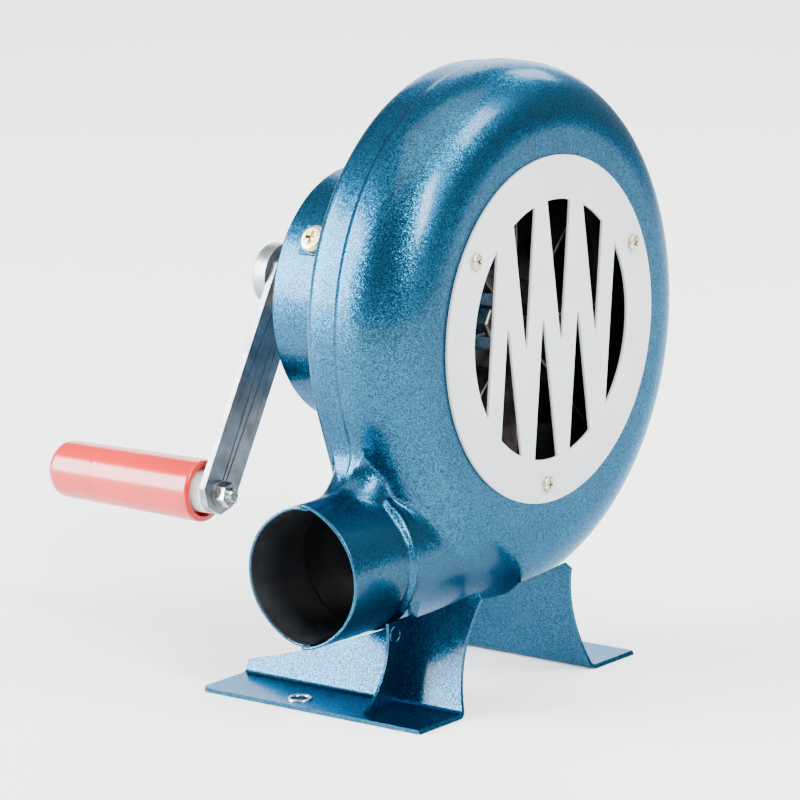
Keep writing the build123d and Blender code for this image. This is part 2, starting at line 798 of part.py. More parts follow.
with BuildPart() as handle_nut:
    with BuildSketch(at(arm_y - washer_thick)):
        with Locations((bolt_x, bolt_z)):
            RegularPolygon(handle_nut_size / sqrt(3), 6, rotation=15)
            Circle(bolt_r, mode=Mode.SUBTRACT)
    extrude(amount=nut_thick)
save(handle_nut.part, "handle_nut")

bush_y = arm_back_y + side_gap
bush_end_y = grip_y + grip_recess + 12.0

save(bolt_tube(grip_bush_r, bolt_r + running_gap, bush_y, bush_end_y), "handle_bush")

with BuildPart() as handle_grip:
    with BuildSketch(Plane((bolt_x, 0, bolt_z), x_dir=(1, 0, 0), z_dir=(0, 0, 1))):
        with BuildLine():
            Polyline(
                (0, grip_y),
                (grip_near_r, grip_y),
                (grip_far_r, grip_end_y),
                (0, grip_end_y),
                close=True,
            )
        make_face()
    revolve(axis=Axis((bolt_x, 0, bolt_z), (0, 1, 0)))
    fillet(handle_grip.faces().sort_by(Axis.Y)[-1].edges(), radius=6.0)
    fillet(handle_grip.faces().sort_by(Axis.Y)[0].edges(), radius=1.2)
    add(bolt_tube(grip_recess_r, 0, grip_y - 1, grip_y + grip_recess), mode=Mode.SUBTRACT)
    add(bolt_tube(grip_bush_r, 0, grip_y - 1, bush_end_y), mode=Mode.SUBTRACT)
    add(bolt_tube(bolt_r + 0.4, 0, grip_y, grip_end_y + 1), mode=Mode.SUBTRACT)
    add(bolt_tube(2 * bolt_r + 1.0, 0, head_y - side_gap, grip_end_y + 1), mode=Mode.SUBTRACT)
save(handle_grip.part, "handle_grip")
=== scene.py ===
# %% [markdown]
# # A hand-cranked forge blower
#
# The real thing is a small centrifugal fan.  Two pressed-steel halves make the scroll casing, a
# drum on the back hides a gear train, and a crank with a loose grip drives it.  This notebook
# keeps the engineering model as a fixed frame and builds the visible surfaces over it.

import json
import math

import bmesh
import bpy
import numpy as np
from mathutils import Matrix, Vector


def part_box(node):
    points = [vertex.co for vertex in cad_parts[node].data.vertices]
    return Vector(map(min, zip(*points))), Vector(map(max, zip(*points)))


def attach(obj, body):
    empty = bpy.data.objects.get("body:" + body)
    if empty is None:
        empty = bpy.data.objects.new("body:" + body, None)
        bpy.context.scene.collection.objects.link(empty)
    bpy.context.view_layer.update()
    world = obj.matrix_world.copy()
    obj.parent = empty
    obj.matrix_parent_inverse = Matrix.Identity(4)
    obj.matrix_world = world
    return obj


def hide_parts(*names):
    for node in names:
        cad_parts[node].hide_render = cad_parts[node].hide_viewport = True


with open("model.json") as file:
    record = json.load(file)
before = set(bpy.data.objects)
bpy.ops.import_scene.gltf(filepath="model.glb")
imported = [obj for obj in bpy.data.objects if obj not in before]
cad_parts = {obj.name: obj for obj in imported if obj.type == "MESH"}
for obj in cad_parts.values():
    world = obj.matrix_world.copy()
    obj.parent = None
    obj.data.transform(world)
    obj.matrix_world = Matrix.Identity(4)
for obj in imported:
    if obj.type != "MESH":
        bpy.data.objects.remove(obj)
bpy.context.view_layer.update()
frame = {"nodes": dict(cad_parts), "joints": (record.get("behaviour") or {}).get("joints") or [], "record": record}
joints = {joint["name"]: joint for joint in frame["joints"]}
mounts = {mount["name"]: mount for mount in frame["record"]["mounts"]}

# %% [markdown]
# ## Sizes
#
# Blender works in metres.  Places that the frame knows are read from it: the shaft axes from the
# joints, the outlet from its mount, and the seam from the casing's own box.  The few sizes left
# are the press tool's: the radii of the round casing and of its shoulders.

# %% Sizes of the casing
MM = 0.001

fan_x, _, fan_z = joints["fan_spin"]["pos_m"]
bolt_x, _, bolt_z = joints["grip_spin"]["pos_m"]

outlet = mounts["outlet_collar"]
outlet_z = outlet["pos_m"][2]
collar_r = outlet["dims"]["r_mm"] * MM
collar_length = outlet["dims"]["length_mm"] * MM
seam_y = outlet["pos_m"][1]
mouth_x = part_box("front_casing")[0].x
front_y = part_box("front_casing")[0].y
rear_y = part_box("gearbox_drum")[0].y

sheet = 1.2 * MM
duct_r = collar_r + 2 * MM
casing_bottom = outlet_z - duct_r
rim_r = 109.7 * MM
scroll_growth = 20.3 * MM
scroll_shift = 9.7 * MM
rim_x = fan_x + 2.2 * MM
rim_z = casing_bottom + rim_r + scroll_growth
big_r = rim_r + scroll_growth / 2 + scroll_shift**2 / (2 * scroll_growth)
big_x = rim_x - scroll_shift
big_z = casing_bottom + big_r
join_angle = math.acos(scroll_shift / (big_r - rim_r))
throat_angle = math.radians(200)
low_r = 80 * MM
low_z = casing_bottom + low_r
throat_n = np.array([math.cos(throat_angle), math.sin(throat_angle)])
low_x = rim_x + (rim_r - low_r - (low_z - rim_z) * throat_n[1]) / throat_n[0]
print(f"fan axis at {fan_x:.3f}, {fan_z:.4f}; casing {front_y:.3f} to {rear_y:.4f}")

# %% [markdown]
# ## A helper for surfaces on a grid
#
# Every new surface here is a function of two parameters.  The points come as one array with a
# row for each step of the first parameter.  Neighbours are joined by four-sided faces, and a
# direction that comes back to its start is closed by joining the last row to the first.

# %% Grid helper
def grid_faces(rows, columns, wrap_rows=False, wrap_columns=False, first=0):
    """Four-sided faces over a rows-by-columns grid of vertices, as an index array."""
    i = np.arange(rows if wrap_rows else rows - 1)
    j = np.arange(columns if wrap_columns else columns - 1)
    a, b = (m.ravel() for m in np.meshgrid(i, j, indexing="ij"))
    c, d = (a + 1) % rows, (b + 1) % columns
    corners = [a * columns + b, c * columns + b, c * columns + d, a * columns + d]
    return np.stack(corners, 1) + first


print("a grid of 3 by 4 points has", len(grid_faces(3, 4)), "faces")

# %% [markdown]
# ### From arrays to an object
#
# A surface can be made of several grids.  They are joined into one mesh and welded where they
# meet, and the normals are made to point outwards.  Then the object is hung on the body that it
# rides on, and the pieces of the frame that it stands in for are hidden.

# %% Object helpers
def add_piece(name, mesh, material, body, slot, nodes=(), sharp=35):
    """An object for a mesh, smooth but for edges past sharp degrees, on its body; slot is not used."""
    mesh.shade_smooth()
    mesh.set_sharp_from_angle(angle=math.radians(sharp))
    mesh.materials.append(material)
    piece = bpy.data.objects.new(name, mesh)
    bpy.context.scene.collection.objects.link(piece)
    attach(piece, body)
    if nodes:
        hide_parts(*nodes)
    return piece


def mesh_piece(name, parts, body, slot, material, nodes=(), sharp=35, facing=0):
    """One object from (points, faces) parts, welded where they meet, facing outwards.

    An open shell can't tell its outside, so facing says if most of it looks to -Y or +Y."""
    vertices = np.concatenate([points.reshape(-1, 3) for points, _ in parts])
    faces, first = [], 0
    for points, part_faces in parts:
        faces += [list(face) for face in (part_faces + first)]
        first += points.reshape(-1, 3).shape[0]
    mesh = bpy.data.meshes.new(name)
    mesh.from_pydata(vertices.tolist(), [], faces)
    shell = bmesh.new()
    shell.from_mesh(mesh)
    bmesh.ops.remove_doubles(shell, verts=shell.verts, dist=1e-6)
    bmesh.ops.dissolve_degenerate(shell, edges=shell.edges, dist=1e-5)
    bmesh.ops.recalc_face_normals(shell, faces=shell.faces)
    looks = sum(face.normal.y * face.calc_area() for face in shell.faces)
    if looks * facing < 0:
        bmesh.ops.reverse_faces(shell, faces=shell.faces)
    shell.to_mesh(mesh)
    shell.free()
    print(f"{name}: {len(mesh.polygons)} faces")
    return add_piece(name, mesh, material, body, slot, nodes, sharp)


# %% [markdown]
# ### Turned shapes
#
# Anything made on a lathe, or moulded round, is a profile of radius against distance that goes
# once round its axis.  All the shafts of the blower lie along Y, so the helper turns about Y.

# %% Lathe helper
def lathe(profile, centre_x, centre_z, steps=96):
    """Turns a list of (radius, y) points about an axis along Y through x and z."""
    radius, y = np.array(profile, float).T
    angle = np.linspace(0, 2 * np.pi, steps, endpoint=False)
    points = np.stack(
        [
            centre_x + np.outer(radius, np.cos(angle)),
            np.repeat(y[:, None], steps, 1),
            centre_z + np.outer(radius, np.sin(angle)),
        ],
        2,
    )
    return points, grid_faces(len(radius), steps, wrap_columns=True)


def arc(centre_r, centre_y, radius, start, end, steps=8):
    """Points of a rounded corner of a lathe profile; angles in degrees, 0 is outwards."""
    a = np.radians(np.linspace(start, end, steps))
    return [(centre_r + radius * math.cos(t), centre_y + radius * math.sin(t)) for t in a]


print("a rounded corner has", len(arc(0, 0, MM, 0, 90)), "points")


# %% [markdown]
# ## Finishes
#
# Each finish is a small node tree on object coordinates, so a pattern keeps its real size in
# millimetres whatever the piece.  The class below keeps one material with its shader, and has a
# short method for each texture that the finishes share, so that a finish reads like a recipe.

# %% Finish helpers
class Finish:
    """A material with one Principled shader and short ways to add textures to it."""

    def __init__(self, name, **sockets):
        """Makes the material; sockets are plain values for the shader."""
        self.material = bpy.data.materials.new(name)
        self.material.use_nodes = True
        self.tree = self.material.node_tree
        self.shader = self.tree.nodes["Principled BSDF"]
        self.coords = self.tree.nodes.new("ShaderNodeTexCoord").outputs["Object"]
        for socket, value in sockets.items():
            self.shader.inputs[socket.replace("_", " ")].default_value = value

    def node(self, kind, inputs=(), **settings):
        """Adds a node; inputs are (socket, value or output) pairs."""
        made = self.tree.nodes.new("ShaderNode" + kind)
        for key, value in settings.items():
            setattr(made, key, value)
        for socket, value in inputs:
            if isinstance(value, bpy.types.NodeSocket):
                self.tree.links.new(value, made.inputs[socket])
            else:
                made.inputs[socket].default_value = value
        return made

    def stretched(self, scale):
        """Object coordinates stretched along an axis, for brushed and rolled grain."""
        return self.node("Mapping", [("Vector", self.coords), ("Scale", scale)]).outputs[0]

    def noise(self, size_mm, detail=3.0, vector=None):
        """Soft cloudy noise whose blobs are about size_mm across."""
        inputs = [("Vector", vector or self.coords), ("Scale", 1000 / size_mm), ("Detail", detail)]
        return self.node("TexNoise", inputs).outputs["Fac"]

    def ramp(self, value, low, high, at=(0.35, 0.65)):
        """Colours between two values of a texture."""
        made = self.node("ValToRGB", [("Fac", value)])
        for element, place, colour in zip(made.color_ramp.elements, at, (low, high)):
            element.position = place
            element.color = (*colour, 1)
        return made.outputs["Color"]

    def level(self, value, low, high):
        """A texture spread over a range of plain numbers."""
        made = self.node("MapRange", [("Value", value), ("To Min", low), ("To Max", high)])
        return made.outputs["Result"]

    def mix(self, factor, first, second, blend="MIX"):
        """Two colours blended by a factor."""
        made = self.node("Mix", data_type="RGBA", blend_type=blend)
        for index, value in ((0, factor), (6, first), (7, second)):
            if isinstance(value, bpy.types.NodeSocket):
                self.tree.links.new(value, made.inputs[index])
            else:
                made.inputs[index].default_value = value if index == 0 else (*value, 1)
        return made.outputs[2]

    def bump(self, height, depth_mm, strength=1.0):
        """A normal that shows a texture as relief depth_mm deep."""
        inputs = [("Height", height), ("Distance", depth_mm * MM), ("Strength", strength)]
        return self.node("Bump", inputs).outputs["Normal"]

    def feed(self, **sockets):
        """Links outputs to the shader's sockets, named with _ for a space."""
        for socket, output in sockets.items():
            self.tree.links.new(output, self.shader.inputs[socket.replace("_", " ")])
        return self


# %% [markdown]
# ### Blue flake paint
#
# The casing is sprayed with a blue that holds aluminium flakes under a clear coat.  Each flake
# is a tiny mirror lying almost flat, so it lights up at its own angle.  A Voronoi texture gives
# one random direction per flake-sized cell, and adding a little of it to the surface normal
# makes the grainy edge that highlights have on this paint.  The coat stays smooth above it, and
# a blue tint on the glancing reflection keeps the far edges from turning white.

# %% Blue flake paint
flake_size = 0.42


def flake_paint(name, dark, light, tilt=0.26, roughness=0.32):
    """Metal flakes between two colours, tilted at random, under a smooth coat."""
    paint = Finish(
        name,
        Metallic=1.0,
        Roughness=roughness,
        Specular_Tint=(0.35, 0.60, 0.80, 1.0),
        Coat_Weight=0.3,
        Coat_Roughness=0.16,
    )
    cells = paint.node("TexVoronoi", [("Vector", paint.coords), ("Scale", 1000 / flake_size)])
    random = cells.outputs["Color"]
    centred = paint.node("VectorMath", [(0, random), (1, (0.5, 0.5, 0.5))], operation="SUBTRACT")
    small = paint.node("VectorMath", [(0, centred.outputs[0])], operation="SCALE")
    small.inputs["Scale"].default_value = tilt
    normal = paint.node("NewGeometry").outputs["Normal"]
    tilted = paint.node("VectorMath", [(0, normal), (1, small.outputs[0])], operation="ADD")
    unit = paint.node("VectorMath", [(0, tilted.outputs[0])], operation="NORMALIZE")
    single = paint.node("SeparateColor", [("Color", random)]).outputs["Red"]
    flakes = paint.ramp(single, dark, light, at=(0.15, 0.95))
    drift = paint.ramp(paint.noise(40, 2), (0.82, 0.86, 0.9), (1.0, 1.0, 1.0))
    colour = paint.mix(1.0, flakes, drift, "MULTIPLY")
    skin = paint.bump(paint.noise(3.0, 2), 0.03, 0.35)
    paint.feed(Base_Color=colour, Normal=unit.outputs[0], Coat_Normal=skin)
    return paint.material


blue_paint = flake_paint("blue_flake_paint", (0.001, 0.026, 0.064), (0.014, 0.125, 0.215))
print("paint:", blue_paint.name)

# %% [markdown]
# ### The other finishes
#
# The intake plate is satin grey, the crank is zinc plated, its grip is a red gloss moulding on a
# white bush, the screws are yellow zinc and the fan is bare rolled steel.  The inside of the
# casing is bare steel darkened to near black, as painted shade.

# %% Other finishes


def plain_finish(name, tone, rough=None, relief=None, **sockets):
    """A finish of three noises, each given as size in mm, detail and its two ends: the colour,
    the roughness, and a fine relief whose ends are its depth in mm and its strength."""
    f = Finish(name, **sockets)
    size, detail, dark, light = tone
    f.feed(Base_Color=f.ramp(f.noise(size, detail), dark, light))
    if rough:
        size, detail, low, high = rough
        f.feed(Roughness=f.level(f.noise(size, detail), low, high))
    if relief:
        size, detail, depth, strength = relief
        f.feed(Normal=f.bump(f.noise(size, detail), depth, strength))
    return f.material


def zinc_plate():
    """Dull zinc on rolled strip: cloudy colour, and a grain drawn out along Z."""
    f = Finish("dull_zinc_plate", Metallic=1.0)
    grain = f.noise(1.2, 5, f.stretched((1, 1, 0.25)))
    cloud = f.ramp(f.noise(9, 5), (0.20, 0.22, 0.235), (0.36, 0.38, 0.40))
    f.feed(Base_Color=cloud, Roughness=f.level(f.noise(4, 4), 0.3, 0.55))
    f.feed(Normal=f.bump(grain, 0.03, 0.5))
    return f.material


def rolled_steel():
    """Bare sheet: brownish, with rolling marks that shine and stand out together."""
    f = Finish("rolled_steel", Metallic=1.0)
    grain = f.noise(0.8, 6, f.stretched((1, 1, 0.08)))
    tone = f.ramp(f.noise(14, 5), (0.10, 0.085, 0.075), (0.27, 0.25, 0.23))
    f.feed(Base_Color=tone, Roughness=f.level(grain, 0.3, 0.5), Normal=f.bump(grain, 0.02, 0.5))
    return f.material


plate_grey = plain_finish(
    "satin_grey_paint",
    (30, 4, (0.50, 0.52, 0.53), (0.56, 0.58, 0.59)),
    (6, 3, 0.36, 0.5),
    (0.8, 2, 0.02, 0.4),
    Roughness=0.42,
    Metallic=0.0,
)
yellow_zinc = plain_finish(
    "yellow_zinc",
    (1.5, 4, (0.52, 0.42, 0.20), (0.78, 0.70, 0.50)),
    (1.0, 3, 0.18, 0.38),
    (0.5, 3, 0.02, 0.4),
    Metallic=1.0,
)
bright = plain_finish(
    "bright_zinc",
    (2.5, 4, (0.42, 0.43, 0.40), (0.66, 0.66, 0.60)),
    (1.2, 3, 0.16, 0.36),
    (0.7, 3, 0.02, 0.4),
    Metallic=1.0,
)
pale_brass = plain_finish(
    "pale_brass_plate",
    (1.2, 4, (0.40, 0.36, 0.22), (0.66, 0.62, 0.46)),
    (0.8, 3, 0.22, 0.42),
    (0.5, 3, 0.02, 0.4),
    Metallic=1.0,
)
red_moulding = plain_finish(
    "red_moulding",
    (25, 3, (0.50, 0.012, 0.008), (0.58, 0.018, 0.012)),
    (2, 3, 0.16, 0.26),
    (6, 2, 0.05, 0.25),
    Roughness=0.2,
    Coat_Weight=0.2,
    Coat_Roughness=0.08,
)
white_moulding = plain_finish(
    "white_moulding",
    (5, 3, (0.72, 0.71, 0.69), (0.80, 0.79, 0.77)),
    relief=(1, 2, 0.02, 0.3),
    Roughness=0.35,
)
greased_iron = plain_finish(
    "greased_iron",
    (5, 4, (0.07, 0.065, 0.06), (0.16, 0.155, 0.15)),
    (3, 3, 0.25, 0.5),
    (0.6, 3, 0.03, 0.5),
    Metallic=1.0,
)
# Bare steel inside the casing, darkened to near black: painted shade for the unlit inside of the casing.
inside_painted_shade = plain_finish(
    "unpainted_inside",
    (12, 4, (0.006, 0.007, 0.009), (0.016, 0.018, 0.022)),
    (3, 3, 0.45, 0.65),
    (1.0, 3, 0.03, 0.5),
    Metallic=0.3,
)
bronze = plain_finish(
    "bearing_bronze",
    (1, 4, (0.30, 0.18, 0.07), (0.48, 0.31, 0.13)),
    (0.6, 3, 0.3, 0.5),
    Metallic=1.0,
)

finishes = {
    "blue_paint": blue_paint,
    "grey_plate": plate_grey,
    "bare_steel": rolled_steel(),
    "zinc_plate": zinc_plate(),
    "yellow_zinc": yellow_zinc,
    "iron_gear": greased_iron,
    "bronze": bronze,
    "red_plastic": red_moulding,
    "white_plastic": white_moulding,
}
print("finishes:", ", ".join(sorted(finishes)))

# %% [markdown]
# ## Pieces taken over from the frame
#
# Pressed feet, plates, shafts and gears already have the right shape.  What a computer model
# lacks is the tiny radius that every real edge has, and that radius is what catches the light.
# So each of these is a copy of the frame's own mesh, with its loose triangles welded and a small
# bevel on the sharp edges.

# %% Dress the frame's own pieces
slot_of = {row["node"]: row["material_slot"] for row in frame["record"]["subparts"]}
bodies = frame["record"]["behaviour"]["bodies"]
body_of = {node: body for body, nodes in bodies.items() for node in nodes}


def dressed(node, edge_mm, material=None):
    """A welded copy of a frame node with its sharp edges rounded by edge_mm."""
    mesh = frame["nodes"][node].data.copy()
    mesh.name = node + "_skin"
    shell = bmesh.new()
    shell.from_mesh(mesh)
    bmesh.ops.remove_doubles(shell, verts=shell.verts, dist=2e-6)
    shell.to_mesh(mesh)
    shell.free()
    if "custom_normal" in mesh.attributes:
        mesh.attributes.remove(mesh.attributes["custom_normal"])
    mesh.materials.clear()
    slot = slot_of[node]
    skin = material or finishes[slot]
    piece = add_piece(node + "_skin", mesh, skin, body_of[node], slot, [node], sharp=32)
    if edge_mm:
        bevel = piece.modifiers.new("edge", "BEVEL")
        bevel.width = edge_mm * MM
        bevel.segments = 2
        bevel.limit_method = "ANGLE"
        bevel.angle_limit = math.radians(40)
        bevel.harden_normals = True
    return piece


print("frame pieces with a slot:", len(slot_of))

# %% [markdown]
# ### How much each edge is rounded
#
# Punched sheet gets a larger radius than a turned bush, and gear teeth get none, because their
# flanks meet at edges that the bevel would eat.  The widths are in millimetres.

# %% Edges of the plain pieces
plain_pieces = {
    "grille_screws": 0.15,
    "drum_screws": 0.2,
    "drum_nuts": 0.2,
    "gearbox_drum": 0.3,
    "outlet_foot": 0.25,
    "far_foot": 0.25,
    "foot_gusset": 0.25,
    "front_bearing_plate": 0.2,
    "rear_bearing_plate": 0.2,
    "plate_posts": 0.2,
    "fan_front_bush": 0.15,
    "fan_rear_bush": 0.15,
    "idler_front_bush": 0.15,
    "idler_rear_bush": 0.15,
    "crank_inner_bush": 0.15,
    "crank_outer_bush": 0.2,
    "crank_shaft": 0.2,
    "crank_gear": 0.0,
    "crank_spacer": 0.15,
    "crank_hub": 0.2,
    "crank_arm": 0.35,
    "handle_bolt": 0.15,
    "handle_washer": 0.15,
    "handle_nut": 0.3,
    "handle_bush": 0.2,
    "idler_shaft": 0.2,
    "idler_pinion": 0.0,
    "idler_gear": 0.0,
    "fan_shaft": 0.2,
    "fan_pinion": 0.0,
    "impeller_disc": 0.15,
    "impeller_hub": 0.2,
    "impeller_nut": 0.3,
    "blade_rivets": 0.1,
    **{f"blade_{number}": 0.12 for number in range(1, 9)},
}
own_finish = {"grille_screws": pale_brass, "handle_nut": bright, "handle_bolt": bright}
for node, edge_mm in plain_pieces.items():
    dressed(node, edge_mm, own_finish.get(node))
print("dressed", len(plain_pieces), "pieces")

# %% [markdown]
# ## The outline of the casing
#
# Both halves are pressed from flat sheet over a die, so their shape is a plan outline and a
# depth above each point of it.  The outline is a scroll: a tight arc over the top, a larger one
# under it that gives the air more room, and a straight throat that is rounded into the outlet.
# It is a closed curve made of arcs and straight runs laid end to end.

# %% Outline of the casing
fillet_r = 16 * MM


def arc_points(x, z, radius, start, end, count):
    """Points of an arc in x and z, angles in radians; the end point is left out."""
    a = np.linspace(start, end, count, endpoint=False)
    return np.stack([x + radius * np.cos(a), z + radius * np.sin(a)], 1)


def run_points(start, end, count):
    """Points of a straight run, without its end point."""
    t = np.linspace(0, 1, count, endpoint=False)[:, None]
    return np.array(start) * (1 - t) + np.array(end) * t


throat_start = np.array([rim_x, rim_z]) + rim_r * throat_n
throat_way = np.array([-throat_n[1], throat_n[0]])
collar_top = outlet_z + duct_r
corner = throat_start + throat_way * (collar_top - throat_start[1]) / throat_way[1]
opening_angle = math.acos(-throat_way @ np.array([-1.0, 0.0]))
tangent_length = fillet_r / math.tan(opening_angle / 2)
fillet_start = corner - throat_way * tangent_length
collar_join_x = corner[0] - tangent_length
swage_x = mouth_x + collar_length
swage_start = swage_x - 3 * MM
fillet_x, fillet_z = collar_join_x, collar_top + fillet_r
fillet_turn = math.atan2(fillet_start[1] - fillet_z, fillet_start[0] - fillet_x)


def smooth_step(value, low, high):
    """0 below low, 1 above high, and 3t^2 - 2t^3 between them."""
    t = np.clip((value - low) / (high - low), 0, 1)
    return t * t * (3 - 2 * t)


def duct_radius(x):
    """The collar's radius up to the swage, then the duct's, with a low bead at the step."""
    bead = 0.25 * MM * np.exp(-(((x - swage_x) / (1.1 * MM)) ** 2))
    return collar_r + (duct_r - collar_r) * smooth_step(x, swage_start, swage_x) + bead


def collar_section(trim, count):
    """Half of the collar's section as depth and height: a half circle whose two ends are
    drawn out to small points by the eighth power of the cosine."""
    psi = np.linspace(0, math.pi, count)
    c = np.cos(psi)
    return (collar_r - trim) * np.sin(psi), c * (collar_r - trim + (duct_r - collar_r) * c**8)


def pipe_depth(x, z, trim):
    """Depth of the outlet above x and z: the cosine is found from the height by Newton steps."""
    radius = duct_radius(x) - trim
    tip = duct_r - trim - radius
    height = np.abs(z - outlet_z)
    c = np.clip(height / (duct_r - trim), 0, 1)
    for _ in range(6):
        c = np.clip(c - (c * (radius + tip * c**8) - height) / (radius + 9 * tip * c**8), 0, 1)
    return radius * np.sqrt(1 - c * c)


# %% [markdown]
# ### The runs end to end
#
# Two closed curves are needed: the whole outline with the outlet, which the edge of the sheet
# follows, and the scroll alone, from which the depth of the round casing is measured.

# %% Outline runs
def outline_parts():
    """The whole outline as six runs: big arc, rim arc, throat, fillet, collar end, bottom."""
    half = math.pi / 2
    _, collar_z = collar_section(0, 65)
    collar = np.stack([np.full(64, collar_join_x), outlet_z + collar_z[:64]], 1)
    bottom_x = np.concatenate(
        [
            np.linspace(collar_join_x, swage_start, 16, endpoint=False),
            np.linspace(swage_start, swage_x + 3 * MM, 10, endpoint=False),
            np.linspace(swage_x + 3 * MM, big_x, 40, endpoint=False),
        ]
    )
    bottom = np.stack([bottom_x, np.full(len(bottom_x), casing_bottom)], 1)
    return [
        arc_points(big_x, big_z, big_r, -half, join_angle, 100),
        arc_points(rim_x, rim_z, rim_r, join_angle, throat_angle, 120),
        run_points(throat_start, fillet_start, 8),
        arc_points(fillet_x, fillet_z, fillet_r, fillet_turn, -half, 28),
        collar,
        bottom,
    ]


def body_outline():
    """The scroll alone, with the outlet left off and its lower corner rounded."""
    half = math.pi / 2
    low_start = np.array([low_x, low_z]) + low_r * throat_n
    return np.concatenate(
        [
            arc_points(big_x, big_z, big_r, -half, join_angle, 160),
            arc_points(rim_x, rim_z, rim_r, join_angle, throat_angle, 200),
            run_points(throat_start, low_start, 40),
            arc_points(low_x, low_z, low_r, throat_angle, 1.5 * math.pi, 80),
        ]
    )


runs = outline_parts()
outline = np.concatenate(runs)
marks = np.cumsum([0] + [len(run) for run in runs])
print(f"outline: {len(outline)} points, throat corner at {corner[0]:.4f}, {corner[1]:.4f}")

# %% [markdown]
# ## The depth of the pressing
#
# The depth at a point is the deepest of three simple shapes: the round-shouldered dome of the
# scroll, the half pipe of the outlet, and a small rolled edge that fills the throat.  Taking a
# smooth maximum instead of a hard one leaves the soft valley that the sheet has where the pipe
# runs into the dome, because sheet steel can't be folded to a knife edge there.

# %% Depth of the pressing
pipe_blend, edge_blend = 5 * MM, 3 * MM
outside_slope = 0.8


def smooth_max(a, b, blend):
    """The larger of two fields, rounded by blend where they are nearly equal."""
    return np.maximum(a, b) + np.maximum(blend - np.abs(a - b), 0) ** 2 / (4 * blend)


def inset(points, curve):
    """Distance of each point inside a closed curve; negative outside it."""
    ends = np.roll(curve, -1, axis=0)
    way = ends - curve
    length2 = np.maximum((way**2).sum(1), 1e-16)
    distance = np.full(len(points), 1e3)
    inside = np.zeros(len(points), bool)
    for first in range(0, len(points), 4000):
        p = points[first : first + 4000, None, :]
        t = np.clip(((p - curve) * way).sum(2) / length2, 0, 1)
        gap = p - curve - t[..., None] * way
        distance[first : first + 4000] = np.sqrt((gap**2).sum(2).min(1))
        above = (curve[:, 1] > p[..., 1]) != (ends[:, 1] > p[..., 1])
        rise = np.where(np.abs(way[:, 1]) < 1e-12, 1e-12, way[:, 1])
        cut = curve[:, 0] + (p[..., 1] - curve[:, 1]) * way[:, 0] / rise
        inside[first : first + 4000] = (above & (p[..., 0] < cut)).sum(1) % 2 == 1
    return np.where(inside, distance, -distance)


def dome(d, flat, shoulder):
    """A wall, a quarter-round shoulder and a flat, at d inside the outline."""
    wall = flat - shoulder
    rise = np.sqrt(np.maximum(shoulder**2 - (shoulder - np.clip(d, 0, shoulder)) ** 2, 0))
    return np.where(d < 0, wall + outside_slope * d, wall + rise)


def pressing(points, trim, flat, shoulder, reach):
    """Depth of one half at plan points; trim is how far it nests inside the outline."""
    x, z = points.T
    body = dome(inset(points, body_outline()) - trim, flat, shoulder)
    pipe = pipe_depth(x, z, trim) * (1 - smooth_step(x, *reach))
    edge = np.clip(inset(points, outline) - trim, 0, fillet_r)
    rolled = np.sqrt(np.maximum(fillet_r**2 - (fillet_r - edge) ** 2, 0))
    near_throat = 1 - smooth_step(x, corner[0] + 10 * MM, corner[0] + 40 * MM)
    return smooth_max(smooth_max(body, pipe, pipe_blend), rolled * near_throat, edge_blend)


print(f"where two fields meet at 1, a blend of 1 gives {smooth_max(1.0, 1.0, 1.0):.2f}")

# %% [markdown]
# ## A grid that follows the pressing
#
# Lines run from a ring round the middle out to the outline, and where the opening is smaller
# than the ring they go on inwards along its radii, so that no two lines cross in the throat.
# Their steps are close together over the last stretch, where the shoulder and the swaged step
# are, and in the outlet they stand at equal x, so that the step falls along them, crisp.

# %% Lay the grid over a half
inner_span = (196.8, 250.0, 260.0, 266.5)
shoulder_rows, flat_rows, inner_rows = 46, 26, 14
ease_reach = 12
ring_r, shoulder_band, least_depth = 61 * MM, 29 * MM, 0.4 * MM


def inner_angles():
    """The angle round the opening that each outline point is joined to, in radians."""
    whole = np.degrees(np.arctan2(outline[:, 1] - fan_z, outline[:, 0] - fan_x))
    whole[: marks[2]] = np.unwrap(whole[: marks[2]], period=360)
    whole[: marks[2]] += 360 * np.round((-93.5 - whole[0]) / 360)
    places = [marks[2], marks[4], marks[5], marks[6]]
    steps = np.arange(marks[2], marks[6])
    whole[marks[2] :] = np.interp(steps, places, inner_span)
    return np.radians(whole)


def trimmed(curve, trim):
    """The outline moved inwards by trim along its own normals."""
    way = np.roll(curve, -1, axis=0) - np.roll(curve, 1, axis=0)
    way /= np.linalg.norm(way, axis=1)[:, None]
    moved = curve + trim * np.stack([-way[:, 1], way[:, 0]], 1)
    mouth = slice(marks[4], marks[5] + 1)
    moved[mouth, 0] = collar_join_x
    moved[mouth, 1] = outlet_z + collar_section(trim, marks[5] - marks[4] + 1)[1]
    return moved


def grid_plan(edge, opening_r):
    """Plan points of all grid rows: from each edge point to the ring, then on to the opening."""
    centre = np.array([fan_x, fan_z])
    angle = inner_angles()
    ray = np.stack([np.cos(angle), np.sin(angle)], 1)
    way = centre + ring_r * ray - edge
    length = np.linalg.norm(way, axis=1)
    slant = np.ones(len(edge))
    mouth = slice(marks[4], marks[5] + 1)
    slant[mouth] = length[mouth] / np.abs(way[mouth, 0])
    around = np.concatenate([slant[-ease_reach:], slant, slant[:ease_reach]])
    window = 2 * ease_reach + 1
    ease = np.convolve(around, np.ones(window) / window, "valid")
    slant = np.where(np.arange(len(edge)) < marks[4], ease, slant)
    first = shoulder_band * slant / length
    u = np.linspace(0, 1, shoulder_rows)
    near = 0.5 * (1 - np.cos(u * math.pi / 2)) + 0.5 * u
    far = np.linspace(0, 1, flat_rows + 1)[1:]
    t = np.concatenate([np.outer(near, first), first + np.outer(far, 1 - first)])
    plan = edge[None] + t[..., None] * way[None]
    if opening_r < ring_r:
        radius = np.linspace(ring_r, opening_r, inner_rows)[1:, None, None]
        plan = np.concatenate([plan, centre + radius * ray])
    return plan


